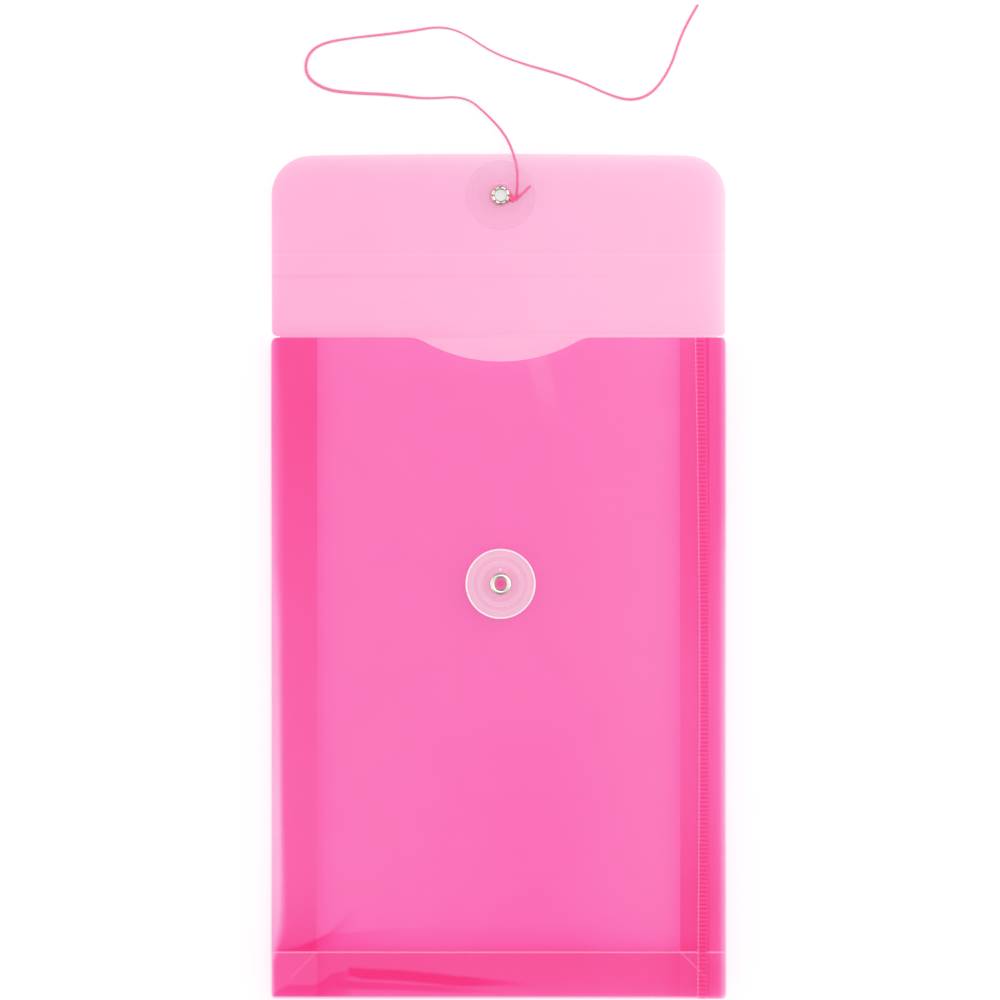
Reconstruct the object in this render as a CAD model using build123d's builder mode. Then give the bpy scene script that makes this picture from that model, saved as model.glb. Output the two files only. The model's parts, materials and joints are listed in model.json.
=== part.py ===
from build123d import *
import os
from math import asin, atan2, cos, degrees, hypot, pi, radians, sin, tan

# String tie envelope of translucent film, lying open on its back with its flap towards +Y.
# Lengths are in millimetres. The origin is on the surface that the envelope lies on, under the
# middle of its outline, with +Z up and +X to the right of someone who reads the front.

# Film: the sheet, the air between two layers, and the room for a round fold to turn beside an edge
SHEET = 0.25
LAYER_GAP = 0.15
FOLD_CLEARANCE = 0.1

# Pocket, as it springs open a little when it lies empty
POCKET_WIDTH = 108.0
POCKET_HEIGHT = 157.0
POCKET_THICKNESS = 5.8
MOUTH_CORNER = 1.9
BASE_CORNER = 1.2
MOUTH_SETBACK = 0.5

# Gussets: depth from the outer folds to the inner fold, the room inside the innermost fold, and
# where the side leaves are mitred
GUSSET_DEPTH = 11.0
INNER_FOLD_GAP = 0.45
MITRE_SETBACK = 0.3

# Long seam: a tab from the right gusset laps over the front panel's edge
TAB_WIDTH = 6.6
LAP_WIDTH = 2.5

# Thumb notch in the front panel's mouth edge
NOTCH_WIDTH = 39.4
NOTCH_DEPTH = 5.7
NOTCH_SHOULDER = 8.0

# Flap: its sides stand in from the pocket's, its far edge is slightly crowned, and score lines cross
# it near the root
FLAP_INSET = 0.2
FLAP_LENGTH = 43.2
FLAP_CROWN = 0.6
FLAP_CORNER = 9.2
FLAP_ROOT_CORNER = 1.3
SCORE_PITCH = 4.8
SCORE_COUNT = 4
SCORE_RADIUS = 0.1

# Buttons: both sit this far right of the middle
BUTTON_OFFSET = 0.5
FRONT_BUTTON_DROP = 58.8
FLAP_BUTTON_REACH = 33.4

# Button disc: a hub holds the plate off the film, so that the string can wind under it
DISC_DIAMETER = 16.6
DISC_THICKNESS = 0.9
DISC_RECESS = 0.15
HUB_RADIUS = 4.15
HUB_HEIGHT = 0.6
RIM_WIDTH = 0.5
RIM_ROUND = 0.12
GROOVE_RADIUS = 5.95
GROOVE_WIDTH = 0.7
GROOVE_DEPTH = 0.15
GATE_RADIUS = 0.35
GATE_HEIGHT = 0.1
BUTTON_PLAY = 0.05

# Eyelet: a tube with a rolled head, clenched into petals on the other side
EYELET_BORE = 2.7
EYELET_WALL = 0.3
EYELET_CLEARANCE = 0.06
HEAD_DIAMETER = 5.2
HEAD_HEIGHT = 0.55
PETAL_DIAMETER = 4.5
PETAL_COUNT = 8
PETAL_EDGE = 0.12
PETAL_CROWN = 0.5
PETAL_SLIT = 0.42

# String: tied round the flap eyelet under its petals
STRING_DIAMETER = 0.75
LOOP_CLEARANCE = 0.05
KNOT_RADIUS = 1.0
KNOT_TURN = -14.0
TAIL_LENGTH = 4.9
TAIL_TURN = 38.0
LOOP_END_SHARE = 0.9

# Free string, from the knot to its bare end: over the flap's edge, then along the surface
STRING_ROUTE = [
    (4.3, 90.0, 2.92),
    (4.8, 95.4, 3.35),
    (3.4, 100.7, 3.95),
    (1.4, 104.9, 3.2),
    (-2.6, 109.4, 1.5),
    (-8.8, 113.2, 0.5),
    (-17.3, 113.6, 0.4),
    (-25.3, 114.0, 0.4),
    (-33.9, 114.6, 0.4),
    (-40.6, 115.5, 0.4),
    (-44.9, 118.1, 0.4),
    (-46.0, 121.2, 0.4),
    (-44.8, 124.5, 0.4),
    (-41.5, 126.6, 0.4),
    (-35.3, 127.7, 0.4),
    (-25.9, 128.7, 0.4),
    (-19.9, 129.5, 0.4),
    (-14.0, 130.5, 0.4),
    (-8.6, 129.2, 0.4),
    (-1.9, 124.8, 0.4),
    (5.4, 121.7, 0.4),
    (14.0, 119.3, 0.4),
    (20.0, 117.2, 0.4),
    (26.0, 114.3, 0.4),
    (31.6, 112.7, 0.4),
    (36.6, 114.8, 0.4),
    (41.0, 120.9, 0.4),
    (43.0, 127.4, 0.4),
    (45.4, 132.4, 0.4),
    (47.4, 135.7, 0.4),
]

# Overrun of cutting shapes past what they cut
OVERRUN = 2.0

# Worked-out sizes
half_sheet = SHEET / 2
half_width = POCKET_WIDTH / 2
layer = SHEET + LAYER_GAP
mid_height = POCKET_THICKNESS / 2
hinge_room = half_sheet + FOLD_CLEARANCE
disc_radius = DISC_DIAMETER / 2
bore_radius = EYELET_BORE / 2
barrel_radius = bore_radius + EYELET_WALL
hole_radius = barrel_radius + EYELET_CLEARANCE
string_radius = STRING_DIAMETER / 2

# Heights in a button's stack, from the film's outer face outwards
hub_top = BUTTON_PLAY + HUB_HEIGHT
disc_top = hub_top + DISC_THICKNESS
head_seat = disc_top + BUTTON_PLAY
head_top = head_seat + HEAD_HEIGHT
head_middle = (bore_radius + HEAD_DIAMETER / 2) / 2


def lean(reach, drop):
    """Flap tilt at which a point on it touches the surface, by its reach from the root and drop below."""
    return atan2(drop, reach) - asin(half_sheet / hypot(reach, drop))


# The open flap rests on the button under it, on the disc's rim or the eyelet's head
flap_tilt = max(
    lean(FLAP_BUTTON_REACH - disc_radius, half_sheet + disc_top),
    lean(FLAP_BUTTON_REACH - head_middle, half_sheet + head_top),
)
envelope_length = POCKET_HEIGHT + FLAP_LENGTH * cos(flap_tilt) + half_sheet * sin(flap_tilt)
base_y = -envelope_length / 2
fold_y = base_y + POCKET_HEIGHT
mouth_y = fold_y - MOUTH_SETBACK

# Planes: the flap's middle layer from the root crease, its cross-section, and the buttons' seats
flap_plane = Plane(
    origin=(0, fold_y, half_sheet), x_dir=(1, 0, 0), z_dir=(0, -sin(flap_tilt), cos(flap_tilt))
)
flap_section = Plane(origin=flap_plane.origin, x_dir=flap_plane.y_dir, z_dir=(1, 0, 0))
flap_button = flap_plane.from_local_coords(Vector(BUTTON_OFFSET, FLAP_BUTTON_REACH, -half_sheet))
flap_button_seat = Plane(origin=flap_button, x_dir=(1, 0, 0), z_dir=-flap_plane.z_dir)
front_button_seat = Plane(
    origin=(BUTTON_OFFSET, fold_y - FRONT_BUTTON_DROP, POCKET_THICKNESS), x_dir=(1, 0, 0), z_dir=(0, 0, 1)
)


def block(left, right, low, high, mode=Mode.ADD):
    """A rectangle of a sketch, between two sides and two heights."""
    with Locations(((left + right) / 2, (low + high) / 2)):
        Rectangle(right - left, high - low, mode=mode)


def nosed_strip(start, end):
    """A strip of film in section, round about the fold where it starts and square where it ends."""
    with BuildLine() as strip:
        Polyline((start, -half_sheet), (end, -half_sheet), (end, half_sheet), (start, half_sheet))
        ThreePointArc((start, half_sheet), (start - half_sheet, 0), (start, -half_sheet))
    make_face(strip.edges())


def leaf_strip(outer, inner):
    """A gusset leaf in section, round about both of its folds."""
    run = inner - outer
    middle = (inner + outer) / 2
    with Locations((middle.X, middle.Y)):
        SlotCenterToCenter(run.length, SHEET, rotation=degrees(atan2(run.Y, run.X)))


# Back panel
with BuildPart() as back_panel:
    with BuildSketch() as back_outline:
        block(-half_width, half_width, base_y, fold_y - hinge_room)
        fillet(back_outline.vertices().group_by(Axis.Y)[-1], MOUTH_CORNER)
        fillet(back_outline.vertices().group_by(Axis.Y)[0], BASE_CORNER)
    extrude(amount=SHEET)

# Front panel, with the thumb notch and the hole for its eyelet; the tab covers its right edge
front_edge_x = half_width - TAB_WIDTH + LAP_WIDTH
notch_radius = ((NOTCH_WIDTH / 2) ** 2 + NOTCH_DEPTH**2) / (2 * NOTCH_DEPTH)
with BuildPart() as front_panel:
    with BuildSketch(Plane.XY.offset(POCKET_THICKNESS - SHEET)) as front_outline:
        block(-half_width, front_edge_x, base_y, mouth_y)
        with Locations((BUTTON_OFFSET, mouth_y - NOTCH_DEPTH + notch_radius)):
            Circle(notch_radius, mode=Mode.SUBTRACT)
        mouth_points = front_outline.vertices().group_by(Axis.Y)[-1].sort_by(Axis.X)
        fillet(mouth_points[1:3], NOTCH_SHOULDER)
        fillet(front_outline.vertices().group_by(Axis.X)[0].sort_by(Axis.Y)[-1], MOUTH_CORNER)
        fillet(front_outline.vertices().group_by(Axis.X)[0].sort_by(Axis.Y)[0], BASE_CORNER)
        with Locations((BUTTON_OFFSET, fold_y - FRONT_BUTTON_DROP)):
            Circle(hole_radius, mode=Mode.SUBTRACT)
    extrude(amount=SHEET)

# Seam tab, welded on top of the front panel's edge
with BuildPart() as seam_tab:
    with BuildSketch(Plane.XY.offset(POCKET_THICKNESS)) as tab_outline:
        block(half_width - TAB_WIDTH, half_width, base_y, mouth_y)
        fillet(tab_outline.vertices().group_by(Axis.X)[-1].sort_by(Axis.Y)[-1], MOUTH_CORNER)
        fillet(tab_outline.vertices().group_by(Axis.X)[-1].sort_by(Axis.Y)[0], BASE_CORNER)
    extrude(amount=SHEET)

# Gusset leaves at rest: the side leaves lie next to the panels, the base leaves inside the side leaves
side_axis_z = layer + half_sheet
base_axis_z = side_axis_z + layer
base_inner_z = mid_height - INNER_FOLD_GAP / 2 - half_sheet
side_inner_z = base_inner_z - layer
outer_fold = half_sheet
inner_fold = GUSSET_DEPTH - half_sheet
leaf_reach = GUSSET_DEPTH + OVERRUN
mitre_tip = BASE_CORNER * tan(pi / 8)
mid_plane = Plane.XY.offset(mid_height)

with BuildPart() as right_gusset_back_leaf:
    with BuildSketch(Plane.XZ):
        leaf_strip(
            Vector(half_width - outer_fold, side_axis_z), Vector(half_width - inner_fold, side_inner_z)
        )
    extrude(amount=envelope_length, both=True)
    with BuildSketch() as side_outline:
        with BuildLine():
            Polyline(
                (half_width, base_y + MITRE_SETBACK),
                (half_width, mouth_y),
                (half_width - leaf_reach, mouth_y),
                (half_width - leaf_reach, base_y + MITRE_SETBACK + leaf_reach),
                close=True,
            )
        make_face()
        fillet(side_outline.vertices().group_by(Axis.X)[-1].sort_by(Axis.Y)[-1], MOUTH_CORNER)
        fillet(side_outline.vertices().group_by(Axis.X)[-1].sort_by(Axis.Y)[0], mitre_tip)
    extrude(amount=POCKET_THICKNESS, mode=Mode.INTERSECT)

with BuildPart() as left_gusset_back_leaf:
    mirror(right_gusset_back_leaf.part, about=Plane.YZ)

with BuildPart() as right_gusset_front_leaf:
    mirror(right_gusset_back_leaf.part, about=mid_plane)

with BuildPart() as left_gusset_front_leaf:
    mirror(left_gusset_back_leaf.part, about=mid_plane)

with BuildPart() as bottom_gusset_back_leaf:
    with BuildSketch(Plane.YZ):
        leaf_strip(Vector(base_y + outer_fold, base_axis_z), Vector(base_y + inner_fold, base_inner_z))
    extrude(amount=half_width, both=True)
    with BuildSketch() as base_outline:
        block(-half_width, half_width, base_y, base_y + leaf_reach)
        fillet(base_outline.vertices().group_by(Axis.Y)[0], BASE_CORNER)
    extrude(amount=POCKET_THICKNESS, mode=Mode.INTERSECT)

with BuildPart() as bottom_gusset_front_leaf:
    mirror(bottom_gusset_back_leaf.part, about=mid_plane)

# Flap spine: the scored strip between the root crease and the last score line
half_flap = half_width - FLAP_INSET
last_score = SCORE_COUNT * SCORE_PITCH
spine_end = last_score - hinge_room
with BuildPart() as flap_spine:
    with BuildSketch(flap_section):
        nosed_strip(0, spine_end)
        with Locations([(score * SCORE_PITCH, half_sheet) for score in range(1, SCORE_COUNT)]):
            Circle(SCORE_RADIUS, mode=Mode.SUBTRACT)
    extrude(amount=half_width, both=True)
    with BuildSketch(flap_plane.offset(-SHEET)) as spine_outline:
        block(-half_flap, half_flap, -half_sheet, last_score)
        fillet(spine_outline.vertices().group_by(Axis.Y)[0], FLAP_ROOT_CORNER)
    extrude(amount=2 * SHEET, mode=Mode.INTERSECT)

# Flap panel, beyond the last score line, with the hole for its eyelet
flap_side_end = FLAP_LENGTH - FLAP_CROWN
with BuildPart() as flap_panel:
    with BuildSketch(flap_section):
        nosed_strip(last_score, FLAP_LENGTH + OVERRUN)
    extrude(amount=half_width, both=True)
    with BuildSketch(flap_plane.offset(-SHEET)) as flap_outline:
        with BuildLine():
            Polyline(
                (-half_flap, flap_side_end),
                (-half_flap, last_score - SHEET),
                (half_flap, last_score - SHEET),
                (half_flap, flap_side_end),
            )
            ThreePointArc((half_flap, flap_side_end), (0, FLAP_LENGTH), (-half_flap, flap_side_end))
        make_face()
        fillet(flap_outline.vertices().group_by(Axis.Y)[-1], FLAP_CORNER)
        with Locations((BUTTON_OFFSET, FLAP_BUTTON_REACH)):
            Circle(hole_radius, mode=Mode.SUBTRACT)
    extrude(amount=2 * SHEET, mode=Mode.INTERSECT)


def turned_section(seat):
    """The half-plane of a turned piece: radius across, height off the film's outer face upwards."""
    return Plane(origin=seat.origin, x_dir=seat.x_dir, z_dir=-seat.y_dir)


def button_disc(seat):
    """A moulded disc with a hub below, a raised rim, a ring groove and the mark of its gate."""
    bore = hole_radius
    recess_top = disc_top - DISC_RECESS
    with BuildPart() as disc:
        with BuildSketch(turned_section(seat)) as profile:
            block(bore, HUB_RADIUS, BUTTON_PLAY, disc_top)
            block(bore, disc_radius, hub_top, recess_top)
            block(disc_radius - RIM_WIDTH, disc_radius, hub_top, disc_top)
            block(
                GROOVE_RADIUS - GROOVE_WIDTH / 2,
                GROOVE_RADIUS + GROOVE_WIDTH / 2,
                recess_top - GROOVE_DEPTH,
                recess_top,
                mode=Mode.SUBTRACT,
            )
            fillet(profile.vertices().group_by(Axis.X)[-1], RIM_ROUND)
        revolve(axis=Axis(seat.origin, seat.z_dir))
        gate_reach = (HUB_RADIUS + HEAD_DIAMETER / 2) / 2
        with BuildSketch(seat.offset(disc_top)):
            with Locations((0, gate_reach)):
                Circle(GATE_RADIUS)
        extrude(amount=GATE_HEIGHT)
    return disc


def eyelet(seat, string_room):
    """A tube through film and disc, with a rolled head outside and petals beyond the string inside."""
    petal_seat = -SHEET - string_room
    petal_radius = PETAL_DIAMETER / 2
    slit_inner = bore_radius + EYELET_WALL / 2
    slit_outer = petal_radius + OVERRUN
    with BuildPart() as tube:
        with BuildSketch(turned_section(seat)):
            with BuildLine():
                Polyline(
                    (petal_radius, petal_seat - PETAL_EDGE),
                    (petal_radius, petal_seat),
                    (barrel_radius, petal_seat),
                    (barrel_radius, head_seat),
                    (HEAD_DIAMETER / 2, head_seat),
                )
                ThreePointArc((HEAD_DIAMETER / 2, head_seat), (head_middle, head_top), (bore_radius, head_seat))
                Line((bore_radius, head_seat), (bore_radius, petal_seat - PETAL_EDGE))
                ThreePointArc(
                    (bore_radius, petal_seat - PETAL_EDGE),
                    ((bore_radius + petal_radius) / 2, petal_seat - PETAL_CROWN),
                    (petal_radius, petal_seat - PETAL_EDGE),
                )
            make_face()
        revolve(axis=Axis(seat.origin, seat.z_dir))
        with BuildSketch(seat.offset(petal_seat)):
            with PolarLocations((slit_inner + slit_outer) / 2, PETAL_COUNT):
                Rectangle(slit_outer - slit_inner, PETAL_SLIT)
        extrude(amount=-OVERRUN, mode=Mode.SUBTRACT)
    return tube


# Buttons: the front one above the pocket, the flap one under the open flap
string_room = STRING_DIAMETER + 2 * LOOP_CLEARANCE
front_button_disc = button_disc(front_button_seat)
front_button_eyelet = eyelet(front_button_seat, 0)
flap_button_disc = button_disc(flap_button_seat)
flap_button_eyelet = eyelet(flap_button_seat, string_room)

# Knot: a loop round the barrel that closes in a knot beside the petals, with a short tail
loop_radius = barrel_radius + LOOP_CLEARANCE + string_radius
knot_reach = PETAL_DIAMETER / 2 + KNOT_RADIUS + LOOP_CLEARANCE
loop_turn = degrees(pi / 2 - asin(loop_radius / knot_reach))
loop_plane = Plane(
    origin=flap_button + flap_plane.z_dir * (SHEET + LOOP_CLEARANCE + string_radius),
    x_dir=flap_plane.x_dir.rotate(Axis((0, 0, 0), flap_plane.z_dir), KNOT_TURN),
    z_dir=flap_plane.z_dir,
)


def beside_eyelet(reach, turn):
    """A point of the loop's plane, by its distance from the eyelet and its turn from the knot."""
    return loop_plane.from_local_coords(Vector(reach, 0).rotate(Axis.Z, turn))


knot_place = beside_eyelet(knot_reach, 0)
loop_first = beside_eyelet(loop_radius, loop_turn)
loop_middle = beside_eyelet(loop_radius, degrees(pi))
loop_last = beside_eyelet(loop_radius, -loop_turn)
tail_run = flap_plane.x_dir.rotate(Axis((0, 0, 0), flap_plane.z_dir), TAIL_TURN) * TAIL_LENGTH
knot_rise = KNOT_RADIUS - LOOP_CLEARANCE - string_radius
with BuildPart() as string_knot:
    with BuildLine() as loop_path:
        Line(loop_first + (knot_place - loop_first) * LOOP_END_SHARE, loop_first)
        ThreePointArc(loop_first, loop_middle, loop_last)
        Line(loop_last, loop_last + (knot_place - loop_last) * LOOP_END_SHARE)
    with BuildSketch(Plane(origin=loop_path.line @ 0, z_dir=loop_path.line % 0)):
        Circle(string_radius)
    sweep()
    with BuildLine() as tail_path:
        Line(knot_place, knot_place + tail_run)
    with BuildSketch(Plane(origin=tail_path.line @ 0, z_dir=tail_path.line % 0)):
        Circle(string_radius)
    sweep()
    with Locations(knot_place + loop_plane.z_dir * knot_rise):
        Sphere(KNOT_RADIUS)

# Free string: each arc is as large as its two runs allow
route = [Vector(*point) for point in STRING_ROUTE]
runs = [end - start for start, end in zip(route, route[1:])]
ARC_SHARE = 0.45
arc_radii = [
    ARC_SHARE * min(before.length, after.length) / tan(radians(before.get_angle(after)) / 2)
    for before, after in zip(runs, runs[1:])
]
with BuildPart() as string:
    with BuildLine() as string_path:
        FilletPolyline(*STRING_ROUTE, radius=arc_radii)
    with BuildSketch(Plane(origin=string_path.line @ 0, z_dir=string_path.line % 0)):
        Circle(string_radius)
    sweep()

string_length = sum(edge.length for edge in string_path.edges())
print("string arc radii", [round(radius, 1) for radius in arc_radii])
print("string length", round(string_length, 2))
print("string volume", round(string.part.volume, 3), "of", round(pi * string_radius**2 * string_length, 3))
print("flap tilt", round(degrees(flap_tilt), 4), "root crease y", round(fold_y, 4), "base y", round(base_y, 4))

pieces = {
    "back_panel": back_panel,
    "front_panel": front_panel,
    "seam_tab": seam_tab,
    "left_gusset_back_leaf": left_gusset_back_leaf,
    "left_gusset_front_leaf": left_gusset_front_leaf,
    "right_gusset_back_leaf": right_gusset_back_leaf,
    "right_gusset_front_leaf": right_gusset_front_leaf,
    "bottom_gusset_back_leaf": bottom_gusset_back_leaf,
    "bottom_gusset_front_leaf": bottom_gusset_front_leaf,
    "flap_spine": flap_spine,
    "flap_panel": flap_panel,
    "front_button_disc": front_button_disc,
    "front_button_eyelet": front_button_eyelet,
    "flap_button_disc": flap_button_disc,
    "flap_button_eyelet": flap_button_eyelet,
    "string_knot": string_knot,
    "string": string,
}

os.makedirs("parts", exist_ok=True)
for name, piece in pieces.items():
    piece.part.label = name
    export_step(piece.part, f"parts/{name}.step")
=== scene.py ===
import json
from math import atan2, cos, exp, pi, radians, sin, sqrt, tau

import bmesh
import bpy
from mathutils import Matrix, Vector, noise


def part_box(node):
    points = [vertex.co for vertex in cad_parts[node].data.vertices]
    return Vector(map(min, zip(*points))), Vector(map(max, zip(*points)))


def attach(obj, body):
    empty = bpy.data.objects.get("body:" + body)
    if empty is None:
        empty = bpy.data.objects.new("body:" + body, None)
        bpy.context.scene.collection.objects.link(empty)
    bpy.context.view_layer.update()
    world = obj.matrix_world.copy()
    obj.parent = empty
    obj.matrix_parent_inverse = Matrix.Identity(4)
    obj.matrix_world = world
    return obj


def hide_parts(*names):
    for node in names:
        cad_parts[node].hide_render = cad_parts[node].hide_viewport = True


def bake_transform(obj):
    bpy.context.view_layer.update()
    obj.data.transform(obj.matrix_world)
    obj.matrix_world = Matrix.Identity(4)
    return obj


# String tie envelope of translucent pink film, lying open on a white floor.
# Lengths are in metres, in the frame's axes: +Y towards the flap, +Z up, +X to the right.

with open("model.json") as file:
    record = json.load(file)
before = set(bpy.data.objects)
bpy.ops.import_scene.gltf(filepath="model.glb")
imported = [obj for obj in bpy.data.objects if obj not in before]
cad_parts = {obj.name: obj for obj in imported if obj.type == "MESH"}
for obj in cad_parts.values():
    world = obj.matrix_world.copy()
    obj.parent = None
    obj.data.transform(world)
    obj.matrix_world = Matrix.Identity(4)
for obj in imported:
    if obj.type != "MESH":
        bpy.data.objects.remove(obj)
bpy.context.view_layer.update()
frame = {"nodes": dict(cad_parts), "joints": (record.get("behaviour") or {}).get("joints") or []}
scene = bpy.context.scene
joints = {joint["name"]: joint for joint in frame["joints"]}

# Camera: straight above, framed as the photograph, which is this wide and has this middle
VIEW_WIDTH = 0.2376
VIEW_MIDDLE = (0.00036, 0.01798)
CAMERA_HEIGHT = 1.5

# Outlines that the frame's boxes don't give
MOUTH_CORNER = 0.0019
BASE_CORNER = 0.0012
NOTCH_WIDTH = 0.0394
NOTCH_DEPTH = 0.0057
NOTCH_SHOULDER = 0.008
FLAP_CROWN = 0.0006
FLAP_CORNER = 0.0092
FLAP_ROOT_CORNER = 0.0013
EYELET_HOLE = 0.00171

# Creases: score lines across the flap, how deep they press the film, how far behind its root crease the
# flap's film starts, and the reach of a fold's bend
SCORE_PITCH = 0.0048
SCORE_COUNT = 4
SCORE_DIP = 0.00006
SCORE_WIDTH = 0.00013
ROOT_SEAM = 0.0004

# Weld of the seam tab: a ladder of bars
WELD_LEFT = 0.04785
WELD_RIGHT = 0.0496
WELD_PITCH = 0.00101
WELD_DIP = 0.00008
BAR_EDGE = 0.00015

# Mesh spacing of the film pieces: on plain panels, on finer ones, in a rim or strip, beside a crease
PANEL_STEP = 0.002
FINE_STEP = 0.001
RIM_STEP = 0.0004
STRIP_STEP = 0.0003
RIM_REACH = 0.005
CREASE_STEP = 0.00008
CREASE_REACH = 4 * CREASE_STEP

# Steps of curves
FOLD_STEPS = 8
NOTCH_STEPS = 40
HOLE_STEPS = 48
BAR_STEPS = 7

# String: its lay, its route as it rises from the knot and then lies on the floor to its bare end, how full
# it is by the share of the way along it, and the knot on the flap's eyelet
STRING_DIAMETER = 0.00075
STRING_PLY = 3
PLY_SHARE = 0.6
STRING_TWIST = 0.0021
STRING_RISE = [
    (0.0043, 0.0900, 0.00292), (0.0048, 0.0954, 0.00335), (0.0034, 0.1007, 0.00395),
    (0.0014, 0.1049, 0.0032), (-0.0026, 0.1094, 0.0015), (-0.0079, 0.1140, 0.0005),
]
STRING_LIE = 0.0004
STRING_RUN = [
    (-0.0173, 0.1132), (-0.0253, 0.1143), (-0.0339, 0.1146), (-0.0407, 0.1153), (-0.0451, 0.1179),
    (-0.0460, 0.1212), (-0.0448, 0.1245), (-0.0415, 0.1266), (-0.0353, 0.1277), (-0.0259, 0.1287),
    (-0.0199, 0.1295), (-0.0140, 0.1305), (-0.0086, 0.1292), (-0.0019, 0.1245), (0.0054, 0.1217),
    (0.0140, 0.1193), (0.0200, 0.1172), (0.0260, 0.1143), (0.0316, 0.1127), (0.0368, 0.1146),
    (0.0410, 0.1209), (0.0430, 0.1274), (0.0454, 0.1324), (0.0474, 0.1357),
]
STRING_ROUTE = [*STRING_RISE, *((x, y, STRING_LIE) for x, y in STRING_RUN)]
FULLNESS_SHARES = [
    (0.0, 0.95), (0.1, 0.85), (0.15, 0.7), (0.2, 0.75), (0.25, 1.0), (0.32, 1.06), (0.36, 1.04),
    (0.42, 0.9), (0.46, 0.75), (0.5, 0.88), (0.55, 0.78), (0.6, 0.6), (0.65, 0.65), (0.72, 0.8),
    (0.8, 0.72), (0.84, 0.9), (0.9, 0.82), (1.0, 0.85),
]
LOOP_RADIUS = 0.0019
LOOP_HEIGHT = 0.000675
LOOP_OPENING = radians(38)
LOOP_STEPS = 20
KNOT_REACH = 0.0033
KNOT_TURN = radians(-14)
KNOT_SIZE = 0.00023
KNOT_INSET = 0.0003
KNOT_RISE = 0.00035
KNOT_HEIGHT_SHARE = 1.6
KNOT_STEPS = 40
TAIL_FOOT = (0.0007, -0.0004, 0)
TAIL_TURN = radians(44)
TAIL_LENGTH = 0.0049


# Places that the frame gives
def pivot(joint):
    """The point that a joint turns about."""
    return Vector(joints[joint]["pos_m"])


back_low, back_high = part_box("back_panel")
front_low, front_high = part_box("front_panel")
tab_low, tab_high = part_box("seam_tab")
flap_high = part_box("flap_panel")[1]
disc_low, disc_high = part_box("front_button_disc")
sheet = back_high.z - back_low.z
half_sheet = sheet / 2
half_width = back_high.x
half_flap = flap_high.x
base_y = back_low.y
mouth_y = front_high.y
root = pivot("flap_root_fold")
last_score = pivot("flap_score_fold")
fold_y = root.y
flap_tilt = atan2(last_score.z - root.z, last_score.y - root.y)
flap_run = Vector((0, cos(flap_tilt), sin(flap_tilt)))
flap_up = Vector((0, -sin(flap_tilt), cos(flap_tilt)))
flap_length = (flap_high.y - fold_y) / cos(flap_tilt)
front_button = pivot("front_button_turn")
flap_button = pivot("flap_button_turn")
disc_radius = (disc_high.x - disc_low.x) / 2
middle_z = pivot("right_inner_fold").z
gusset_depth = half_width - pivot("right_inner_fold").x + half_sheet
back_z = (back_low.z + back_high.z) / 2
front_z = (front_low.z + front_high.z) / 2
tab_z = (tab_low.z + tab_high.z) / 2


def make_camera():
    """A long lens straight above, so that the view is the photograph's."""
    data = bpy.data.cameras.new("camera")
    data.lens = data.sensor_width * CAMERA_HEIGHT / VIEW_WIDTH
    camera = bpy.data.objects.new("camera", data)
    camera.location = (*VIEW_MIDDLE, CAMERA_HEIGHT)
    scene.collection.objects.link(camera)
    scene.camera = camera


make_camera()


# Mesh helpers
def add_object(name, bm):
    """A new object of the scene from a bmesh."""
    mesh = bpy.data.meshes.new(name)
    bm.to_mesh(mesh)
    bm.free()
    added = bpy.data.objects.new(name, mesh)
    scene.collection.objects.link(added)
    return added


def add_piece(name, bm, material):
    """A piece of the part from a bmesh, with its material."""
    bmesh.ops.recalc_face_normals(bm, faces=bm.faces)
    piece = add_object(name, bm)
    piece.data.materials.append(material)
    return piece


SMOOTH_ANGLE = radians(35)


def smooth(piece):
    """Shades a piece smooth, with its cut edges sharp."""
    piece.data.shade_smooth()
    piece.data.set_sharp_from_angle(angle=SMOOTH_ANGLE)


def shape(piece, move):
    """Moves each point of a piece."""
    for vertex in piece.data.vertices:
        vertex.co = move(vertex.co)
    piece.data.update()


def runs(start, *spans):
    """Places from a start through spans, each given by its end and its step."""
    places = [start]
    for end, step in spans:
        first = places[-1]
        count = max(1, round((end - first) / step))
        places += [between(k / count, first, end) for k in range(1, count + 1)]
    return places


def between(share, low, high):
    """The value that lies this share of the way from low to high."""
    return low + (high - low) * share


def along(steps, place):
    """The values at a place in a table of places and values, straight between its rows."""
    for (start, *first), (end, *second) in zip(steps, steps[1:]):
        if place <= end:
            share = max(0, place - start) / (end - start)
            return [between(share, a, b) for a, b in zip(first, second)]
    return steps[-1][1:]


def creased(low, high, step, creases):
    """Places from low to high, closer together beside each crease."""
    places = runs(low, (high, step))
    places = [p for p in places if all(abs(p - crease) > CREASE_REACH for crease in creases)]
    for crease in creases:
        places += runs(crease - CREASE_REACH, (crease + CREASE_REACH, CREASE_STEP))
    return sorted(p for p in places if low <= p <= high)


def thickened(line):
    """The closed section round a line of points, half a sheet to each side."""
    points = [Vector(p) for p in line]
    sides = []
    for k, point in enumerate(points):
        before = (point - points[k - 1]).normalized() if k else Vector((0, 0))
        after = (points[k + 1] - point).normalized() if k + 1 < len(points) else Vector((0, 0))
        run = (before + after).normalized()
        sides.append(Vector((-run.y, run.x)) * half_sheet)
    upper = [p + s for p, s in zip(points, sides)]
    lower = [p - s for p, s in zip(points, sides)]
    return upper + lower[::-1]


def film_strip(name, line, rows, place, material):
    """A film piece: a section of the film's gauge, swept through rows of places."""
    section = thickened(line)
    count = len(section)
    bm = bmesh.new()
    rings = [[bm.verts.new(place(p.x, p.y, row)) for p in section] for row in rows]
    for first, second in zip(rings, rings[1:]):
        for k in range(count):
            n = (k + 1) % count
            bm.faces.new((first[k], first[n], second[n], second[k]))
    for ring in (rings[0], rings[-1]):
        for k in range(len(line) - 1):
            bm.faces.new((ring[k], ring[k + 1], ring[count - 2 - k], ring[count - 1 - k]))
    return add_piece(name, bm, material)


CUT_REACH = 0.05


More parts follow.
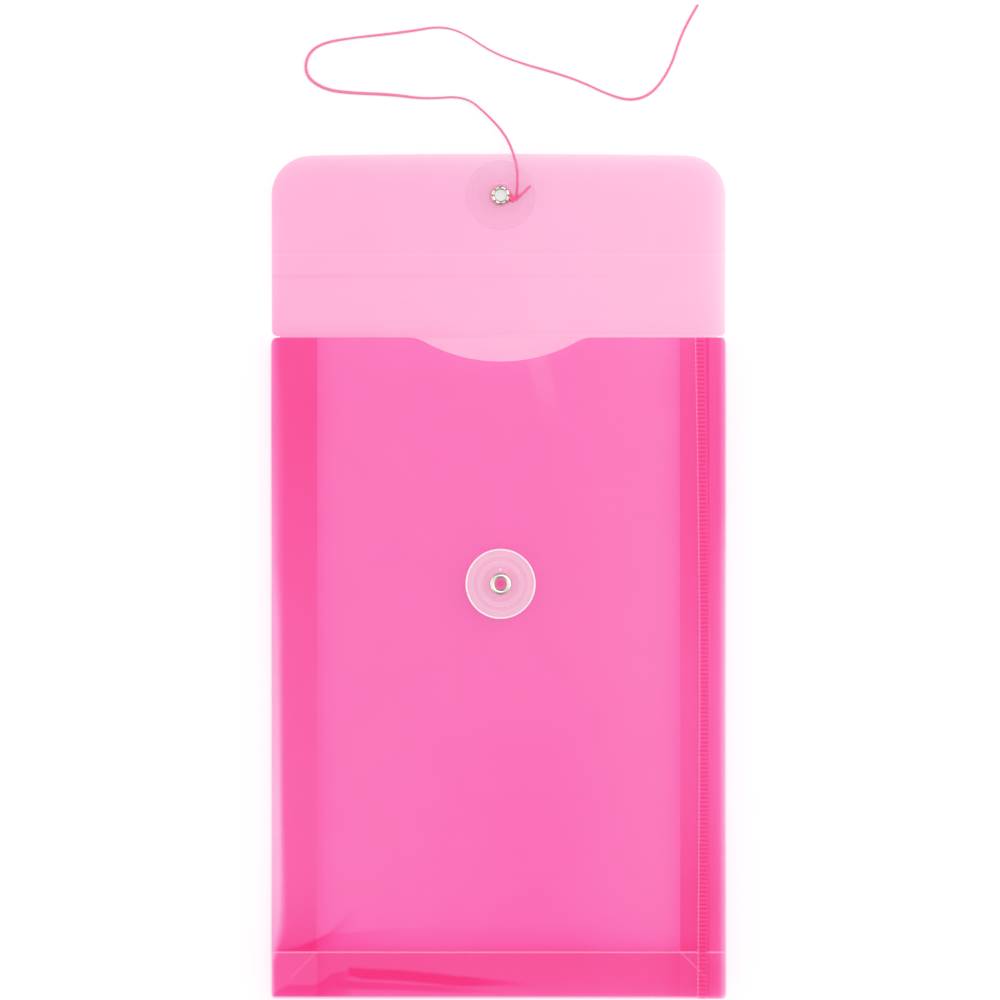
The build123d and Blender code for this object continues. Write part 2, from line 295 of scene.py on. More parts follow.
def trim(piece, outline, operation="INTERSECT"):
    """Cuts a piece to an outline seen from above, or cuts the outline out of it."""
    bm = bmesh.new()
    face = bm.faces.new([bm.verts.new((x, y, -CUT_REACH)) for x, y in outline])
    top = bmesh.ops.extrude_face_region(bm, geom=[face])["geom"]
    lift = Vector((0, 0, 2 * CUT_REACH))
    bmesh.ops.translate(bm, vec=lift, verts=[g for g in top if isinstance(g, bmesh.types.BMVert)])
    bmesh.ops.recalc_face_normals(bm, faces=bm.faces)
    cutter = add_object("cutter", bm)
    cutter_mesh = cutter.data
    modifier = piece.modifiers.new("trim", "BOOLEAN")
    modifier.object = cutter
    modifier.operation = operation
    modifier.solver = "EXACT"
    depsgraph = bpy.context.evaluated_depsgraph_get()
    cut = bpy.data.meshes.new_from_object(piece.evaluated_get(depsgraph))
    piece.modifiers.clear()
    piece.data = cut
    bpy.data.objects.remove(cutter)
    bpy.data.meshes.remove(cutter_mesh)


def arc(centre, radius, start, end, steps=FOLD_STEPS):
    """Points of an arc from one angle to another."""
    turns = [start + (end - start) * k / steps for k in range(steps + 1)]
    return [(centre[0] + radius * cos(t), centre[1] + radius * sin(t)) for t in turns]


def hole_outline(centre):
    """The outline of the hole that an eyelet goes through."""
    return arc(centre, EYELET_HOLE, 0, tau, HOLE_STEPS)[:-1]


def rounded(corners):
    """An outline, anticlockwise, from its corners, each given with the radius that rounds it."""
    outline = []
    for k, (x, y, radius) in enumerate(corners):
        corner = Vector((x, y))
        if not radius:
            outline.append((x, y))
            continue
        before = (Vector(corners[k - 1][:2]) - corner).normalized()
        after = (Vector(corners[(k + 1) % len(corners)][:2]) - corner).normalized()
        half = before.angle(after) / 2
        centre = corner + (before + after).normalized() * radius / sin(half)
        first = corner + before * radius * cos(half) / sin(half) - centre
        start = atan2(first.y, first.x)
        outline += arc(centre, radius, start, start + pi - 2 * half)
    return outline


# Materials
class Graph:
    """The nodes of a material or of the world, with short ways to add more."""

    def __init__(self, owner):
        owner.use_nodes = True
        self.nodes = owner.node_tree.nodes
        self.link = owner.node_tree.links.new

    def add(self, kind, inputs, **settings):
        """A new node with these settings, whose inputs have these values or read these sockets."""
        node = self.nodes.new(kind)
        for name, value in settings.items():
            setattr(node, name, value)
        for key, value in inputs.items():
            if isinstance(value, bpy.types.NodeSocket):
                self.link(value, node.inputs[key])
            else:
                node.inputs[key].default_value = value
        return node

    def math(self, operation, *values, clamp=False):
        """The result of a maths node with these values or sockets."""
        settings = {"operation": operation, "use_clamp": clamp}
        return self.add("ShaderNodeMath", dict(enumerate(values)), **settings).outputs[0]

    def vectors(self, operation, *values):
        """The results of a vector maths node with these values or sockets."""
        return self.add("ShaderNodeVectorMath", dict(enumerate(values)), operation=operation).outputs

    def here(self):
        """The place on the piece, in its own axes."""
        return self.add("ShaderNodeTexCoord", {}).outputs["Object"]

    def painted(self, name):
        """A number that is painted on a piece's points."""
        return self.add("ShaderNodeAttribute", {}, attribute_name=name).outputs["Fac"]

    def speckle(self, scale):
        """A noise over the piece's own place, with this many specks a metre."""
        return self.add("ShaderNodeTexNoise", {"Scale": scale, "Vector": self.here()}).outputs["Fac"]

    def off_axis(self, place, axis):
        """How far the surface lies from an axis through a place."""
        apart = self.vectors("SUBTRACT", self.here(), place)["Vector"]
        across = self.vectors("CROSS_PRODUCT", apart, axis)["Vector"]
        return self.vectors("LENGTH", across)["Value"]

    def ramp(self, value, steps):
        """Colours read from a table of places from 0 to 1, each with the colour there."""
        node = self.add("ShaderNodeValToRGB", {"Fac": value})
        stops = node.color_ramp.elements
        stops[0].position, stops[0].color = steps[0]
        stops[-1].position, stops[-1].color = steps[-1]
        for place, colour in steps[1:-1]:
            stops.new(place).color = colour
        return node.outputs["Color"]

    def bump(self, height, distance):
        """The lie of a surface that is raised by a bump of this height."""
        return self.add("ShaderNodeBump", {"Height": height, "Distance": distance}).outputs["Normal"]

    def skin(self, look):
        """The shader of a solid surface."""
        return self.add("ShaderNodeBsdfPrincipled", look)

    def veiled(self, share, through, colour, roughness, specks, depth):
        """The shader of a clear surface under a share of a milky skin with a fine grain."""
        clear = self.add("ShaderNodeBsdfTransparent", {"Color": through})
        grain = self.bump(self.speckle(specks), depth)
        skin = self.skin({"Base Color": colour, "Roughness": roughness, "Normal": grain})
        return self.add("ShaderNodeMixShader", {"Fac": share, 1: clear.outputs[0], 2: skin.outputs[0]})

    def show(self, shader):
        """Makes a shader the material's surface."""
        self.add("ShaderNodeOutputMaterial", {"Surface": shader.outputs[0]})


def new_material(name):
    """An empty node material and its graph."""
    material = bpy.data.materials.new(name)
    graph = Graph(material)
    graph.nodes.clear()
    return material, graph


def grey(level):
    """A grey of this level."""
    return (level, level, level, 1)


# Film: its haze, its gloss at a glancing look, its fine grain, and what one face of each film lets through
FILM_HAZE = 0.03
LEAF_HAZE = 0.012
FACING_BLEND = 0.5
GLOSS_POWER = 5.0
GLOSS_SHARE = 0.35
LEAF_GLOSS_SHARE = 0.06
FILM_ROUGHNESS = 0.32
FILM_MILK = (1.0, 0.62, 0.80, 1)
FILM_GRAIN = 2500.0
FILM_GRAIN_DEPTH = 0.00001
# One film in three tints: its own pink, deepened on the front as painted shade and paled on the leaves as
# painted light
BACK_TINT = (0.992, 0.764, 0.882)
FRONT_TINT = (0.997, 0.674, 0.879)
LEAF_TINT = (0.998, 0.872, 0.942)


def film_material(name, through, haze, gloss_share):
    """Tinted film: what passes one face, deepened or thinned by the painted depth, under a gloss."""
    material, graph = new_material(name)
    depth = graph.painted("depth")
    passed = [graph.math("POWER", share, depth) for share in through]
    tint = graph.add("ShaderNodeCombineColor", dict(enumerate(passed))).outputs[0]
    facing = graph.add("ShaderNodeLayerWeight", {"Blend": FACING_BLEND}).outputs["Facing"]
    gloss = graph.math("POWER", facing, GLOSS_POWER)
    milky = graph.math("ADD", graph.painted("frost"), haze)
    share = graph.math("MULTIPLY_ADD", gloss, gloss_share, milky, clamp=True)
    graph.show(graph.veiled(share, tint, FILM_MILK, FILM_ROUGHNESS, FILM_GRAIN, FILM_GRAIN_DEPTH))
    return material


back_film = film_material("back_film", BACK_TINT, FILM_HAZE, GLOSS_SHARE)
front_film = film_material("front_film", FRONT_TINT, FILM_HAZE, GLOSS_SHARE)
leaf_film = film_material("leaf_film", LEAF_TINT, LEAF_HAZE, LEAF_GLOSS_SHARE)

# Discs: how milky the plastic is, by the share of the way from the axis to the rim
DISC_CLEAR = (0.998, 0.99, 0.994, 1)
DISC_WHITE = (0.99, 0.94, 0.97, 1)
DISC_ROUGHNESS = 0.22
DISC_GRAIN = 900.0
DISC_GRAIN_DEPTH = 0.00002
DISC_RING_SHARES = [
    (0.0, 0.23), (0.49, 0.23), (0.53, 0.27), (0.63, 0.28), (0.65, 0.32), (0.67, 0.25), (0.74, 0.25),
    (0.79, 0.3), (0.945, 0.3),
]
RIM_SHARE = 0.965
FRONT_RIM_MILK = 0.82
FLAP_RIM_MILK = 0.35
FLAP_MILK_SHARE = 0.3
GATE_REACH = 0.003375
GATE_RADIUS = 0.00035
GATE_MILK = 0.25


def disc_material(name, joint, rim_milk, milk_share):
    """Clear moulded plastic, milkier in rings, at its rim and at the mark of its gate."""
    material, graph = new_material(name)
    axis = Vector(joints[joint]["axis"])
    reach = graph.math("DIVIDE", graph.off_axis(pivot(joint), axis), disc_radius)
    steps = [*DISC_RING_SHARES, (RIM_SHARE, rim_milk), (1.0, rim_milk)]
    rings = graph.ramp(reach, [(share, grey(milk)) for share, milk in steps])
    gate_place = pivot(joint) + axis.cross(Vector((1, 0, 0))) * GATE_REACH
    gate = graph.math("LESS_THAN", graph.off_axis(gate_place, axis), GATE_RADIUS)
    milk = graph.math("MULTIPLY_ADD", gate, GATE_MILK, rings)
    share = graph.math("MULTIPLY", milk, milk_share)
    graph.show(graph.veiled(share, DISC_CLEAR, DISC_WHITE, DISC_ROUGHNESS, DISC_GRAIN, DISC_GRAIN_DEPTH))
    return material


front_disc_plastic = disc_material("front_disc_plastic", "front_button_turn", FRONT_RIM_MILK, 1.0)
flap_disc_plastic = disc_material("flap_disc_plastic", "flap_button_turn", FLAP_RIM_MILK, FLAP_MILK_SHARE)

# Eyelets: bright plate that pressing has left a little uneven
NICKEL_COLOUR = (0.74, 0.735, 0.65, 1)
NICKEL_ROUGHNESS = ((0.3, grey(0.12)), (0.7, grey(0.3)))
NICKEL_SPECKS = 2200.0
NICKEL_DENTS = 0.00003


def nickel_material(name):
    """Bright nickel plate."""
    material, graph = new_material(name)
    specks = graph.speckle(NICKEL_SPECKS)
    look = {
        "Base Color": NICKEL_COLOUR,
        "Metallic": 1.0,
        "Roughness": graph.ramp(specks, NICKEL_ROUGHNESS),
        "Normal": graph.bump(specks, NICKEL_DENTS),
    }
    graph.show(graph.skin(look))
    return material


nickel = nickel_material("nickel")

# Thread: dyed fibres, darker between them, and deeper at its knot: partly pulled tight, partly painted shade
THREAD_COLOURS = ((0.35, (1.0, 0.15, 0.375, 1)), (0.6, (1.0, 0.265, 0.515, 1)))
TIGHT_AND_SHADED_NEAR = 0.004
TIGHT_AND_SHADED_FAR = 0.008
TIGHT_AND_SHADED_DEPTH = 0.38
THREAD_SHEEN = 0.6
THREAD_SHEEN_COLOUR = (1.0, 0.55, 0.75, 1)
THREAD_ROUGHNESS = 0.75
THREAD_FIBRES = 7000.0
THREAD_FUZZ = 0.00001


def string_material(name):
    """Twisted dyed thread."""
    material, graph = new_material(name)
    fibres = graph.speckle(THREAD_FIBRES)
    reach = graph.off_axis(flap_button, flap_up)
    # Deeper near the flap's eyelet: painted shade, with the knot pulled tight there
    inside = graph.math("SUBTRACT", TIGHT_AND_SHADED_FAR, reach)
    tight_and_shaded = graph.math("DIVIDE", inside, TIGHT_AND_SHADED_FAR - TIGHT_AND_SHADED_NEAR, clamp=True)
    deeper = graph.math("MULTIPLY_ADD", tight_and_shaded, TIGHT_AND_SHADED_DEPTH, 1.0)
    colour = graph.ramp(fibres, THREAD_COLOURS)
    look = {
        "Base Color": graph.add("ShaderNodeGamma", {"Color": colour, "Gamma": deeper}).outputs[0],
        "Roughness": THREAD_ROUGHNESS,
        "Sheen Weight": THREAD_SHEEN,
        "Sheen Tint": THREAD_SHEEN_COLOUR,
        "Normal": graph.bump(fibres, THREAD_FUZZ),
    }
    graph.show(graph.skin(look))
    return material


thread = string_material("thread")

# String: the order and steps of its smooth line, the sides of a ply and the steps of a twist
LINE_ORDER = 3
LINE_STEPS = 24
STRAND_SIDES = 7
TWIST_STEPS = 10


def smooth_line(points):
    """Points of the smooth line that these points control."""
    curve = bpy.data.curves.new("route", "CURVE")
    curve.dimensions = "3D"
    curve.resolution_u = LINE_STEPS
    spline = curve.splines.new("NURBS")
    spline.points.add(len(points) - 1)
    for point, place in zip(spline.points, points):
        point.co = (*place, 1)
    spline.order_u = LINE_ORDER
    spline.use_endpoint_u = True
    carrier = bpy.data.objects.new("route", curve)
    mesh = bpy.data.meshes.new_from_object(carrier)
    line = [vertex.co.copy() for vertex in mesh.vertices]
    bpy.data.objects.remove(carrier)
    bpy.data.curves.remove(curve)
    bpy.data.meshes.remove(mesh)
    return line


def evenly(line, step):
    """Points at even steps along a line of points."""
    even = [line[0]]
    left = step
    for start, end in zip(line, line[1:]):
        run = (end - start).length
        done = 0
        while run - done >= left:
            done += left
            even.append(start.lerp(end, done / run))
            left = step
        left -= run - done
    return even


def lay_strands(bm, line, fullness_shares=((0, 1), (1, 1))):
    """Twists plies round a line of points, as a string is laid, fuller in some places than in others."""
    step = STRING_TWIST / TWIST_STEPS
    line = evenly(line, step)
    rings = [[] for _ in range(STRING_PLY)]
    normal = (line[1] - line[0]).orthogonal().normalized()
    for k, place in enumerate(line):
        run = (line[min(k + 1, len(line) - 1)] - line[max(k - 1, 0)]).normalized()
        normal = (normal - run * normal.dot(run)).normalized()
        side = run.cross(normal)
        radius = STRING_DIAMETER / 2 * along(fullness_shares, k / len(line))[0]
        ply_radius = radius * PLY_SHARE
        lay_radius = radius - ply_radius
        for ply in range(STRING_PLY):
            turn = tau * (k / TWIST_STEPS + ply / STRING_PLY)
            out = normal * cos(turn) + side * sin(turn)
            around = side * cos(turn) - normal * sin(turn)
            lead = (run * STRING_TWIST + around * tau * lay_radius).normalized()
            across = out.cross(lead)
            middle = place + out * lay_radius
            ring = []
            for corner in range(STRAND_SIDES):
                angle = tau * corner / STRAND_SIDES
                ring.append(bm.verts.new(middle + (out * cos(angle) + across * sin(angle)) * ply_radius))
            rings[ply].append(ring)
    for strand in rings:
        for first, second in zip(strand, strand[1:]):
            for k in range(STRAND_SIDES):
                n = (k + 1) % STRAND_SIDES
                bm.faces.new((first[k], first[n], second[n], second[k]))
        bm.faces.new(strand[0])
        bm.faces.new(strand[-1])


def add_string(name, bm, node):
    """A piece of string, which goes with the flap."""
    piece = add_piece(name, bm, thread)
    smooth(piece)
    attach(piece, "flap")
    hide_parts(node)
    return piece


def make_string():
    """The free string, from the knot to its bare end."""
    line = smooth_line(STRING_ROUTE)
    bm = bmesh.new()
    lay_strands(bm, line, FULLNESS_SHARES)
    return add_string("string_lay", bm, "string"), line


def on_flap(reach, turn, height):
    """A point beside the flap's eyelet, by reach, turn and height off the film's outer face."""
    across = Vector((reach * cos(turn), 0, 0))
    return flap_button + across + flap_run * reach * sin(turn) + flap_up * height


def make_knot():
    """The loop round the eyelet's barrel, the overhand knot that closes it, and its short tail."""
    bm = bmesh.new()
    ends = on_flap(KNOT_REACH, KNOT_TURN, LOOP_HEIGHT)
    arc_turn = tau - 2 * LOOP_OPENING
    turns = [KNOT_TURN + LOOP_OPENING + arc_turn * k / LOOP_STEPS for k in range(LOOP_STEPS + 1)]
    loop = [ends, *(on_flap(LOOP_RADIUS, turn, LOOP_HEIGHT) for turn in turns), ends]
    lay_strands(bm, smooth_line(loop))
    knot = on_flap(KNOT_REACH - KNOT_INSET, KNOT_TURN, LOOP_HEIGHT + KNOT_RISE)
    trefoil = []
    for t in (tau * k / KNOT_STEPS for k in range(KNOT_STEPS + 1)):
        rise = -KNOT_HEIGHT_SHARE * sin(3 * t)
        trefoil.append(knot + KNOT_SIZE * Vector((sin(t) + 2 * sin(2 * t), cos(t) - 2 * cos(2 * t), rise)))
    lay_strands(bm, smooth_line(trefoil))
    foot = knot + Vector(TAIL_FOOT)
    tip = foot + Vector((cos(TAIL_TURN), sin(TAIL_TURN), 0)) * TAIL_LENGTH
    lay_strands(bm, smooth_line([foot, foot.lerp(tip, 1 / 2), tip]))
    return add_string("string_tie", bm, "string_knot")


string, string_line = make_string()
knot = make_knot()


# Painting of the film: how deep its tint is, and how far creasing has whitened it
def ease(value, low, high):
    """From 0 at low to 1 at high, smoothly."""
    t = min(1, max(0, (value - low) / (high - low)))
    return t * t * (3 - 2 * t)


def line_at(value, place, strength, width):
    """A strength on a line, falling off over its width."""
    return strength * exp(-(((value - place) / width) ** 2))


def near(distance, strength, reach):
    """A strength at an edge, falling off with the distance from it."""
    return strength * exp(-max(0, distance) / reach)


# How far the film's depth varies, and in how many patches a metre
MOTTLE = 0.025
MOTTLE_SCALE = 110.0


def paint(piece, depth, frost):
    """Writes the film's depth, a little mottled, and its whitening on each point of a piece."""
    places = [vertex.co for vertex in piece.data.vertices]
    depths = [depth(place) * (1 + MOTTLE * noise.noise(place * MOTTLE_SCALE)) for place in places]
    frosts = [frost(place) for place in places]
    for name, painted in (("depth", depths), ("frost", frosts)):
        piece.data.attributes.new(name, "FLOAT", "POINT").data.foreach_set("value", painted)


def no_frost(place):
    """Film that no crease has whitened."""
    return 0.0


def dress(piece, depth, frost=no_frost, move=None):
    """Paints a film piece, moves its points where there is a move, and shades it."""
    paint(piece, depth, frost)
    if move:
        shape(piece, move)
    smooth(piece)


# Rims: light that comes in at the pocket's folds thins the tint there
# At the left: the share of the way down, the rim's width, how soft its edge is, the share of depth it keeps
LEFT_RIM = [
    (0.0, 0.0010, 0.0013, 0.50),
    (0.13, 0.0020, 0.0022, 0.56),
    (0.34, 0.0018, 0.0016, 0.38),
    (0.43, 0.0024, 0.0012, 0.38),
    (0.70, 0.0026, 0.0008, 0.29),
    (0.80, 0.0029, 0.0010, 0.31),
    (0.86, 0.0030, 0.0012, 0.33),
    (0.89, 0.0028, 0.0014, 0.34),
    (0.915, 0.0021, 0.0014, 0.35),
    (0.945, 0.0007, 0.0006, 0.28),
    (1.0, 0.0008, 0.0006, 0.32),
]

# At the right: a rim, and a wider glow that sets in some way down
RIGHT_RIM = 0.46
RIGHT_RIM_REACH = (0.0005, 0.0019)
RIGHT_GLOW = 0.15
RIGHT_GLOW_REACH = (0.0014, 0.0036)
RIGHT_GLOW_SHARES = (0.24, 0.36)

# At the base: the glow's strength and its reach
BASE_GLOW = (0.25, 0.0013)


def way_down(place):
    """The share of the way from the pocket's mouth to its base."""
    return (mouth_y - place.y) / (mouth_y - base_y)


def rim_depth(place):
    """The share of its depth that the film keeps beside the pocket's folds."""
    inside = half_width - abs(place.x)
    if place.x < 0:
        width, edge, kept = along(LEFT_RIM, way_down(place))
        share = between(ease(inside, width - edge, width + edge), kept, 1)
    else:
        glow = RIGHT_GLOW * ease(way_down(place), *RIGHT_GLOW_SHARES) * (1 - ease(inside, *RIGHT_GLOW_REACH))
        share = 1 - glow - RIGHT_RIM * (1 - ease(inside, *RIGHT_RIM_REACH))
    return share * (1 - near(place.y - base_y, *BASE_GLOW))


# Pocket panels
pocket_outline = rounded([
    (-half_width, base_y, BASE_CORNER),
    (half_width, base_y, BASE_CORNER),
    (half_width, fold_y, MOUTH_CORNER),
    (-half_width, fold_y, MOUTH_CORNER),
])


def fold_radius(panel_height, fold_height):
    """The radius of the film's middle in a fold between a panel and a leaf."""
    return abs(fold_height - panel_height) / 2


def opposite(height):
    """The height as far above the pocket's middle as this one is below it."""
    return 2 * middle_z - height


side_leaf_z = pivot("gusset_expand").z
base_leaf_z = pivot("bottom_back_fold").z
side_inset = fold_radius(back_z, side_leaf_z) + half_sheet
base_inset = fold_radius(back_z, base_leaf_z) + half_sheet
tab_inset = fold_radius(tab_z, opposite(side_leaf_z)) + half_sheet


def flat_place(across, height, row):
    """A point of a flat panel."""
    return Vector((across, row, height))


def rimmed(outer, rim, middle, span):
    """Places across a panel, closer together at its rims and round its button."""
    return runs(
        -outer,
        (-rim, RIM_STEP),
        (middle - span, PANEL_STEP),
        (middle + span, RIM_STEP),
        (rim, PANEL_STEP),
        (outer, RIM_STEP),
    )


# Where the gussets' inner folds lie, and where the sides' rims end
fold_x = half_width - gusset_depth
rim_x = half_width - RIM_REACH
crease_y = base_y + gusset_depth

# Back panel, darker under the front button, by the shade's strength and its reach
BUTTON_SHADE = (2.4, 0.0017)
BUTTON_SPAN = 0.004


def back_depth(place):
    """The back panel's depth of tint."""
    return rim_depth(place) + line_at((place.xy - front_button.xy).length, 0, *BUTTON_SHADE)


def make_back():
    """The back panel, from the base fold to the flap's root."""
    columns = rimmed(half_width - side_inset, rim_x, front_button.x, BUTTON_SPAN)
    rows = runs(
        base_y + base_inset,
        (base_y + RIM_REACH, RIM_STEP),
        (front_button.y - BUTTON_SPAN, PANEL_STEP),
        (front_button.y + BUTTON_SPAN, RIM_STEP),
        (fold_y - ROOT_SEAM, PANEL_STEP),
    )
    piece = film_strip("back_film", [(x, back_z) for x in columns], rows, flat_place, back_film)
    trim(piece, pocket_outline)
    dress(piece, back_depth)
    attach(piece, "back")
    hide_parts("back_panel")


make_back()

# Front panel: its outline with the thumb notch
notch_x = front_button.x
notch_radius = ((NOTCH_WIDTH / 2) ** 2 + NOTCH_DEPTH**2) / (2 * NOTCH_DEPTH)
notch_y = mouth_y - NOTCH_DEPTH + notch_radius
shoulder_y = mouth_y - NOTCH_SHOULDER
shoulder_reach = sqrt((notch_radius + NOTCH_SHOULDER) ** 2 - (notch_y - shoulder_y) ** 2)
shoulder_turn = atan2(shoulder_reach, notch_y - shoulder_y)
front_outline = [
    *rounded([
        (-half_width, mouth_y, MOUTH_CORNER),
        (-half_width, base_y, BASE_CORNER),
        (half_width, base_y, 0),
        (half_width, mouth_y, 0),
    ]),
    *arc((notch_x + shoulder_reach, shoulder_y), NOTCH_SHOULDER, pi / 2, pi / 2 + shoulder_turn),
    *arc((notch_x, notch_y), notch_radius, shoulder_turn - pi / 2, -shoulder_turn - pi / 2, NOTCH_STEPS),
    *arc((notch_x - shoulder_reach, shoulder_y), NOTCH_SHOULDER, pi / 2 - shoulder_turn, pi / 2),
]

# Where the front clings to the film under it: how much deeper the tint is there, how far the band fades out
# at its right end, and the places along the band, each with half its width
CLING_EDGE = 0.0004
CLING_BANDS = [
    (1.7, 0.02, [
        (-0.0353, -0.0937, 0.0009), (-0.0322, -0.0942, 0.0012), (-0.0241, -0.0945, 0.0012),
        (-0.0160, -0.0952, 0.0012), (-0.0110, -0.0958, 0.0012), (-0.0056, -0.0961, 0.0010),
        (0.0004, -0.0963, 0.0006), (0.0110, -0.0971, 0.0004),
    ]),
    (1.1, 0.022, [
        (-0.0385, -0.0966, 0.0010), (-0.0340, -0.0969, 0.0009), (-0.0234, -0.0973, 0.0007),
        (-0.0115, -0.0979, 0.0006), (0.0036, -0.0986, 0.0004),
    ]),
]

# Painted shade where it hangs against the gusset at the left: the upper edge of each such shade, by places
# along it with how much deeper the tint is there, and how far down the shade falls off
CORNER_FALL = 0.004
CORNER_SHADE = [
    (-0.0522, -0.0887, 0.4), (-0.0481, -0.0880, 1.2), (-0.0443, -0.0866, 1.8),
    (-0.0410, -0.0851, 1.0), (-0.0386, -0.0835, 0.6), (-0.0365, -0.0806, 0.35),
    (-0.0330, -0.0770, 0.0),
]
HANG_FALL = 0.012
LAP_SHADE = [
    (-0.0424, -0.0848, 0.1), (-0.0400, -0.0847, 0.3), (-0.0370, -0.0846, 0.4),
    (-0.0329, -0.0842, 0.4), (-0.0282, -0.0839, 0.25), (-0.0186, -0.0836, 0.14),
    (0.0146, -0.0832, 0.12), (0.0241, -0.0832, 0.0),
]
HANG_SHADE = [
    (-0.0540, -0.0995, 0.3), (-0.0531, -0.0987, 0.8), (-0.0500, -0.0969, 1.1),
    (-0.0431, -0.0968, 1.2), (-0.0410, -0.0955, 1.2), (-0.0393, -0.0941, 1.1),
    (-0.0372, -0.0937, 1.0), (-0.0356, -0.0936, 0.4), (-0.0346, -0.0936, 0.0),
]


def hang(place, edge, fall):
    """How much deeper the tint is below the edge of a shade."""
    if not edge[0][0] < place.x < edge[-1][0]:
        return 0
    top, deeper = along(edge, place.x)
    return near(top - place.y, deeper, fall) * ease(top - place.y, -CLING_EDGE, CLING_EDGE)


def cling_and_painted_shade(place):
    """How much deeper the tint is where the front clings to the film under it, and in painted shade."""
    if place.y > crease_y:
        return hang(place, CORNER_SHADE, CORNER_FALL) + hang(place, LAP_SHADE, HANG_FALL)
    deeper = hang(place, HANG_SHADE, HANG_FALL)
    for strength, fade, band in CLING_BANDS:
        if band[0][0] < place.x < band[-1][0]:
            middle, half = along(band, place.x)
            inside = half - abs(place.y - middle)
            shown = ease(band[-1][0] - place.x, 0, fade)
            deeper = max(deeper, strength * shown * ease(inside, -CLING_EDGE, CLING_EDGE))
    return deeper


# Soft light patch under the notch, where the bulged film mirrors a window. It leans right on its way down.
GLINT_PLACE = 0.008
GLINT_LEAN_SHARE = 0.25
GLINT_REACH = 0.0025
GLINT_EDGE = 0.0006
GLINT_FADE = (0.0341, 0.047)
GLINT_DEPTH = 0.22


def glint(place):
    """From 0 outside the light patch to 1 in it, fading out at its foot."""
    off = abs(place.x - GLINT_PLACE - GLINT_LEAN_SHARE * (mouth_y - place.y))
    return ease(off, GLINT_REACH + GLINT_EDGE, GLINT_REACH - GLINT_EDGE) * ease(place.y, *GLINT_FADE)


# Shades of the front film, by their strength and reach: across it from left to right, at its mouth, along the
# folds, above the base crease, low down and round the disc. Then its white crease and its light fold lines.
ACROSS_DEPTHS = (0.09, -0.05)
ACROSS_REACH = (0.007, 0.042)
MOUTH_SHADE = (0.1, 0.0018)
FOLD_SHADE = (0.45, 0.002)
TAB_SHADE = (0.2, 0.0012)
CREASE_SHADE = (0.7, 0.0016)
RISE_SHADE = (0.26, 0.009)
LOW_SHADE = (0.16, 0.026)
LOW_SHADE_PLACE = 0.01
LOW_SHADE_SPAN = (-0.011, -0.058)
DISC_SHADE = (0.1, 0.0014)
CREASE_FROST = (0.4, 0.00016)
LEFT_FOLD_LIGHT = 0.22
RIGHT_FOLD_LIGHT = 0.35
FOLD_LIGHT_WIDTH = 0.00025


def front_depth(place):
    """The front panel's depth of tint."""
    depth = 1 + cling_and_painted_shade(place) - GLINT_DEPTH * glint(place)
    depth += near(mouth_y - place.y, *MOUTH_SHADE)
    depth += near((place.xy - front_button.xy).length - disc_radius, *DISC_SHADE)
    if abs(place.x) < fold_x:
        depth += near(fold_x - abs(place.x), *FOLD_SHADE)
        depth += between(ease(place.x, *ACROSS_REACH), *ACROSS_DEPTHS)
    elif place.x > 0:
        depth += near(tab_low.x - place.x, *TAB_SHADE)
    if place.y > crease_y:
        light = LEFT_FOLD_LIGHT if place.x < 0 else RIGHT_FOLD_LIGHT
        depth -= way_down(place) * line_at(abs(place.x), fold_x, light, FOLD_LIGHT_WIDTH)
        depth += near(place.y - crease_y, *CREASE_SHADE)
        depth += near(place.y - crease_y, *RISE_SHADE)
        low = ease(place.y, *LOW_SHADE_SPAN)
        depth += low * line_at(place.x, LOW_SHADE_PLACE, *LOW_SHADE)
    return depth * rim_depth(place)


def crease_frost(place):
    """The whitened crease that the base gusset's inner fold has pressed across the front."""
    return line_at(place.y, crease_y, *CREASE_FROST)


# Slack of the front film between its folds, flat beside them and under the button
SLACK = 0.00022
SLACK_WAVES = (0.047, 0.071)
SLACK_EDGE = 0.012


def slack(place):
    """Lets the front film wave a little where nothing holds it."""
    held = ease(front_high.x - SLACK_EDGE / 2 - place.x, 0, SLACK_EDGE)
    held *= ease(half_width + place.x, 0, SLACK_EDGE)
    held *= ease(place.y - base_y, 0, SLACK_EDGE)
    held *= ease((place.xy - front_button.xy).length, SLACK_EDGE / 2, SLACK_EDGE * 2)
    wave = sin(tau * place.x / SLACK_WAVES[0]) * sin(tau * place.y / SLACK_WAVES[1])
    return place + Vector((0, 0, SLACK * held * wave))


def make_front():
    """The front panel, with its notch and its eyelet's hole."""
    shade_span = 2 * FOLD_SHADE[1]
    columns = runs(
        side_inset - half_width,
        (-rim_x, RIM_STEP),
        (-fold_x - CREASE_REACH, FINE_STEP),
        (CREASE_REACH - fold_x, CREASE_STEP * 2),
        (shade_span - fold_x, RIM_STEP),
        (fold_x - shade_span, FINE_STEP),
        (fold_x - CREASE_REACH, RIM_STEP),
        (fold_x + CREASE_REACH, CREASE_STEP * 2),
        (front_high.x, RIM_STEP),
    )
    rows = runs(
        base_y + base_inset,
        (crease_y - CREASE_REACH, STRIP_STEP),
        (crease_y + CREASE_REACH, CREASE_STEP),
        (crease_y + RIM_REACH, STRIP_STEP),
        (mouth_y, FINE_STEP),
    )
    piece = film_strip("front_film", [(x, front_z) for x in columns], rows, flat_place, front_film)
    trim(piece, front_outline)
    trim(piece, hole_outline(front_button), "DIFFERENCE")
    dress(piece, front_depth, crease_frost, slack)
    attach(piece, "front")
    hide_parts("front_panel")


make_front()

# Seam tab: a cut edge, by its whitening and width, and a welded ladder of bars where it laps the front panel
TAB_LAP_DEPTH = 0.5
TAB_EDGE_FROST = (0.45, 0.0002)
DASH_SHARE = 0.7
BAR_DEPTH = 1.1
BAR_FROST = 0.04

